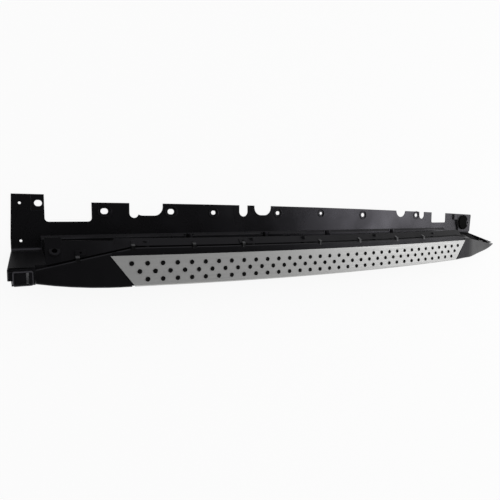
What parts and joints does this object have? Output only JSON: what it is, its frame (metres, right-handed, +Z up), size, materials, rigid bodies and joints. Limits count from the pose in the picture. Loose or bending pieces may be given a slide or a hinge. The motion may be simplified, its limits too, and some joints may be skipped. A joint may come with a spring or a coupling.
{
  "type": "side step bar",
  "caption": "Long black side step for a car's sill, with a perforated metal tread, rubber studs, a notched flange and a tapered tail.",
  "frame": {"origin": "on the underside of the flange, on the line of its clip holes, at the tread's mid-length", "axes": "+X along the bar towards the tapered tail, +Y inboard towards the sill, +Z up, out of the tread"},
  "size_m": [1.987, 0.2365, 0.11],
  "materials": {
    "moulding": "fine grained satin black",
    "tread": "satin brushed",
    "rubber": "matt black",
    "clip": "dark coated spring steel",
    "screw": "zinc plated",
    "end_plate": "smooth black"
  },
  "bodies": {
    "root": {"carrier_moulding": "moulding", "step_cover": "moulding", "tread_plate": "tread", "stud_mat": "rubber", "front_end_cap": "moulding", "rear_end_plate": "end_plate", "rear_plug": "rubber", "plate_screw": "screw", "cover_clip_1": "clip", "cover_clip_2": "clip", "cover_clip_3": "clip", "cover_clip_4": "clip", "cover_clip_5": "clip", "cover_clip_6": "clip", "cover_clip_7": "clip", "cover_clip_8": "clip", "tail_clip_1": "clip", "tail_clip_2": "clip", "cover_screw_1": "screw", "cover_screw_2": "screw", "cover_screw_3": "screw", "cover_screw_4": "screw", "cover_screw_5": "screw", "cover_screw_6": "screw"}
  },
  "joints": []
}
